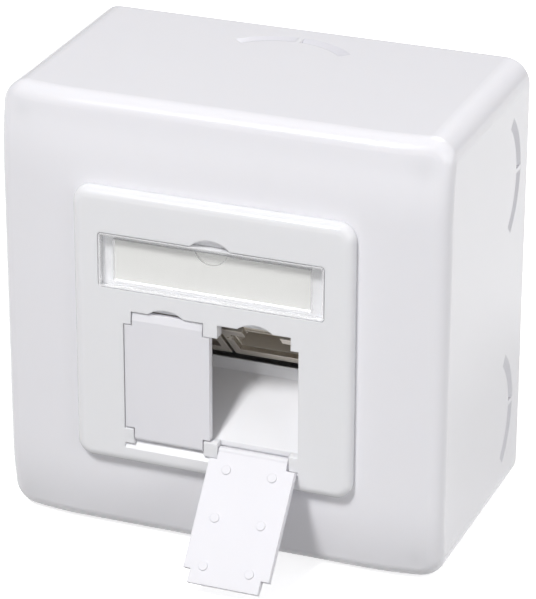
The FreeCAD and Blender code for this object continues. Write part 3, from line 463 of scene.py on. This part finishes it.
INSERT_TONES, INSERT_GLOSS = ("D3CCC1", "C8C1B6"), (0.45, 0.55)
FLECK_MM, FLECK_DEPTH_MM = 0.4, 0.015

filled_polyester = moulded_plastic(
    "glass_filled_polyester", INSERT_TONES, INSERT_GLOSS, FLECK_MM, FLECK_DEPTH_MM)
for side in ("left", "right"):
    dress(nodes["jack_" + side], filled_polyester)

# Contact springs, eight in each port: drawn bronze wire with a hard gold plate. Each lies along the
# port's floor, turns back at the front and rises towards the plug's blades.

GOLD_TONES, GOLD_GLOSS = ("E6BE6A", "D9AE58"), (0.2, 0.3)
DRAWN_ALONG_WIRE, DRAWN_GRAIN_MM, DRAWN_DEPTH_MM = (1.0, 0.08, 0.08), 0.3, 0.004
CONTACT_WIRE_MM, CONTACT_PITCH_MM, CONTACTS, PORT_PITCH_MM = 0.19, 1.02, 8, 15.7
WIRE_SIDES = 8
UNIT_PLACE_MM, UNIT_SLOPE = (-35.43434, -6.18890), math.sqrt(0.5)
WIRE_PATH = [(13.4, 2.66), (4.3, 2.66), (3.8, 2.7), (3.66, 2.86), (3.86, 3.02), (9.9, 5.55)]


def in_port_frame(x, along, up):
    """A point of the port unit, from its place along the plug's way in and up the slanted face."""
    y, z = UNIT_PLACE_MM
    return x, y + (along - up) * UNIT_SLOPE, z + (along + up) * UNIT_SLOPE


def make_spring_tree(finish):
    """A row of like wires side by side: a path swept round and repeated along X at a pitch."""
    tree, given = new_growth_tree("contact_springs", ("Wire Radius", "Pitch"), ("Count",))
    path = add_node(tree, "GeometryNodeMeshToCurve", [("Mesh", given["Geometry"])])
    section = add_node(tree, "GeometryNodeCurvePrimitiveCircle", [("Radius", given["Wire Radius"])],
                       Resolution=WIRE_SIDES)
    wire = add_node(tree, "GeometryNodeCurveToMesh", [
        ("Curve", path.outputs["Curve"]), ("Profile Curve", section.outputs["Curve"])], Fill_Caps=True)
    rounded = add_node(tree, "GeometryNodeSetShadeSmooth", [("Geometry", wire.outputs["Mesh"])])
    step = add_node(tree, "ShaderNodeCombineXYZ", [("X", given["Pitch"])])
    row = add_node(tree, "GeometryNodeMeshLine", [
        ("Count", given["Count"]), ("Offset", step.outputs["Vector"])])
    placed = add_node(tree, "GeometryNodeInstanceOnPoints", [
        ("Points", row.outputs["Mesh"]), ("Instance", rounded.outputs["Geometry"])])
    end_tree(tree, placed, finish)
    return tree


drawn_gold = plated_metal(
    "hard_gold_plated_bronze", GOLD_TONES, GOLD_GLOSS, DRAWN_ALONG_WIRE, DRAWN_GRAIN_MM, DRAWN_DEPTH_MM)
spring_tree = make_spring_tree(drawn_gold)
for side, sign in (("left", -1), ("right", 1)):
    first_x = sign * PORT_PITCH_MM / 2 - (CONTACTS - 1) * CONTACT_PITCH_MM / 2
    path_mesh = points_mesh(side + "_contact_springs", [in_port_frame(first_x, *at) for at in WIRE_PATH])
    path_mesh.edges.add(len(WIRE_PATH) - 1)
    for number, edge in enumerate(path_mesh.edges):
        edge.vertices = (number, number + 1)
    springs = grown(side + "_contact_springs", path_mesh, spring_tree, {
        "Wire Radius": CONTACT_WIRE_MM / 1000, "Pitch": CONTACT_PITCH_MM / 1000, "Count": CONTACTS})
    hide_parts("contacts_" + side)
    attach(springs, "socket")

# Circuit board, glass-fibre laminate under a green solder mask. The woven glass shows as a fine checked
# relief in the gloss, drawn at twice its real thread spacing so that it shows.

MASK_TONES, MOTTLE_MM, MASK_ROUGHNESS = ("22643F", "1B5635"), 4.0, 0.3
WEAVE_MM, WEAVE_DEPTH_MM, BOARD_EDGE_MM, BANDS_AT_SCALE_ONE = 1.0, 0.02, 0.03, 3.14

masked_laminate, tree, shader, place = new_finish("solder_masked_laminate")
mottle = add_node(tree, "ShaderNodeTexNoise", [("Vector", place)], Scale=1000 / MOTTLE_MM, Detail=2.0)
colour_between(tree, shader, mottle.outputs["Fac"], MASK_TONES)
warp, weft = (
    add_node(tree, "ShaderNodeTexWave", [("Vector", place)], bands_direction=way,
             Scale=1000 / WEAVE_MM / BANDS_AT_SCALE_ONE) for way in ("X", "Z"))
weave = add_node(tree, "ShaderNodeMath", [
    (0, warp.outputs["Fac"]), (1, weft.outputs["Fac"])], operation="ADD")
raise_by(tree, shader, weave.outputs["Value"], WEAVE_DEPTH_MM, BOARD_EDGE_MM)
shader.inputs["Roughness"].default_value = MASK_ROUGHNESS
dress(nodes["circuit_board"], masked_laminate)

# Wire blocks and their blades. The blocks are white polycarbonate, moulded with a soft gloss, and the
# blades are tinned bronze, pressed into them, dull with a warm tint. The earth tab is tinned as well.

BLOCK_TONES, BLOCK_GLOSS, BLOCK_RIPPLE_MM, BLOCK_DEPTH_MM = ("EAEAE5", "E2E2DC"), (0.3, 0.4), 1.5, 0.01
TIN_TONES, TIN_GLOSS, TIN_GRAIN_MM, TIN_DEPTH_MM = ("CFCBC3", "BAB6AE"), (0.3, 0.45), 0.3, 0.006
ROLLED_ALONG_Z = (1.0, 1.0, 0.1)

white_carbonate = moulded_plastic(
    "moulded_polycarbonate", BLOCK_TONES, BLOCK_GLOSS, BLOCK_RIPPLE_MM, BLOCK_DEPTH_MM)
tinned_bronze = plated_metal(
    "tinned_bronze_strip", TIN_TONES, TIN_GLOSS, ROLLED_ALONG_Z, TIN_GRAIN_MM, TIN_DEPTH_MM)
for end in ("front", "rear"):
    dress(nodes["idc_block_" + end], white_carbonate)
    dress(nodes["idc_blades_" + end], tinned_bronze)
dress(nodes["earth_tab"], tinned_bronze)
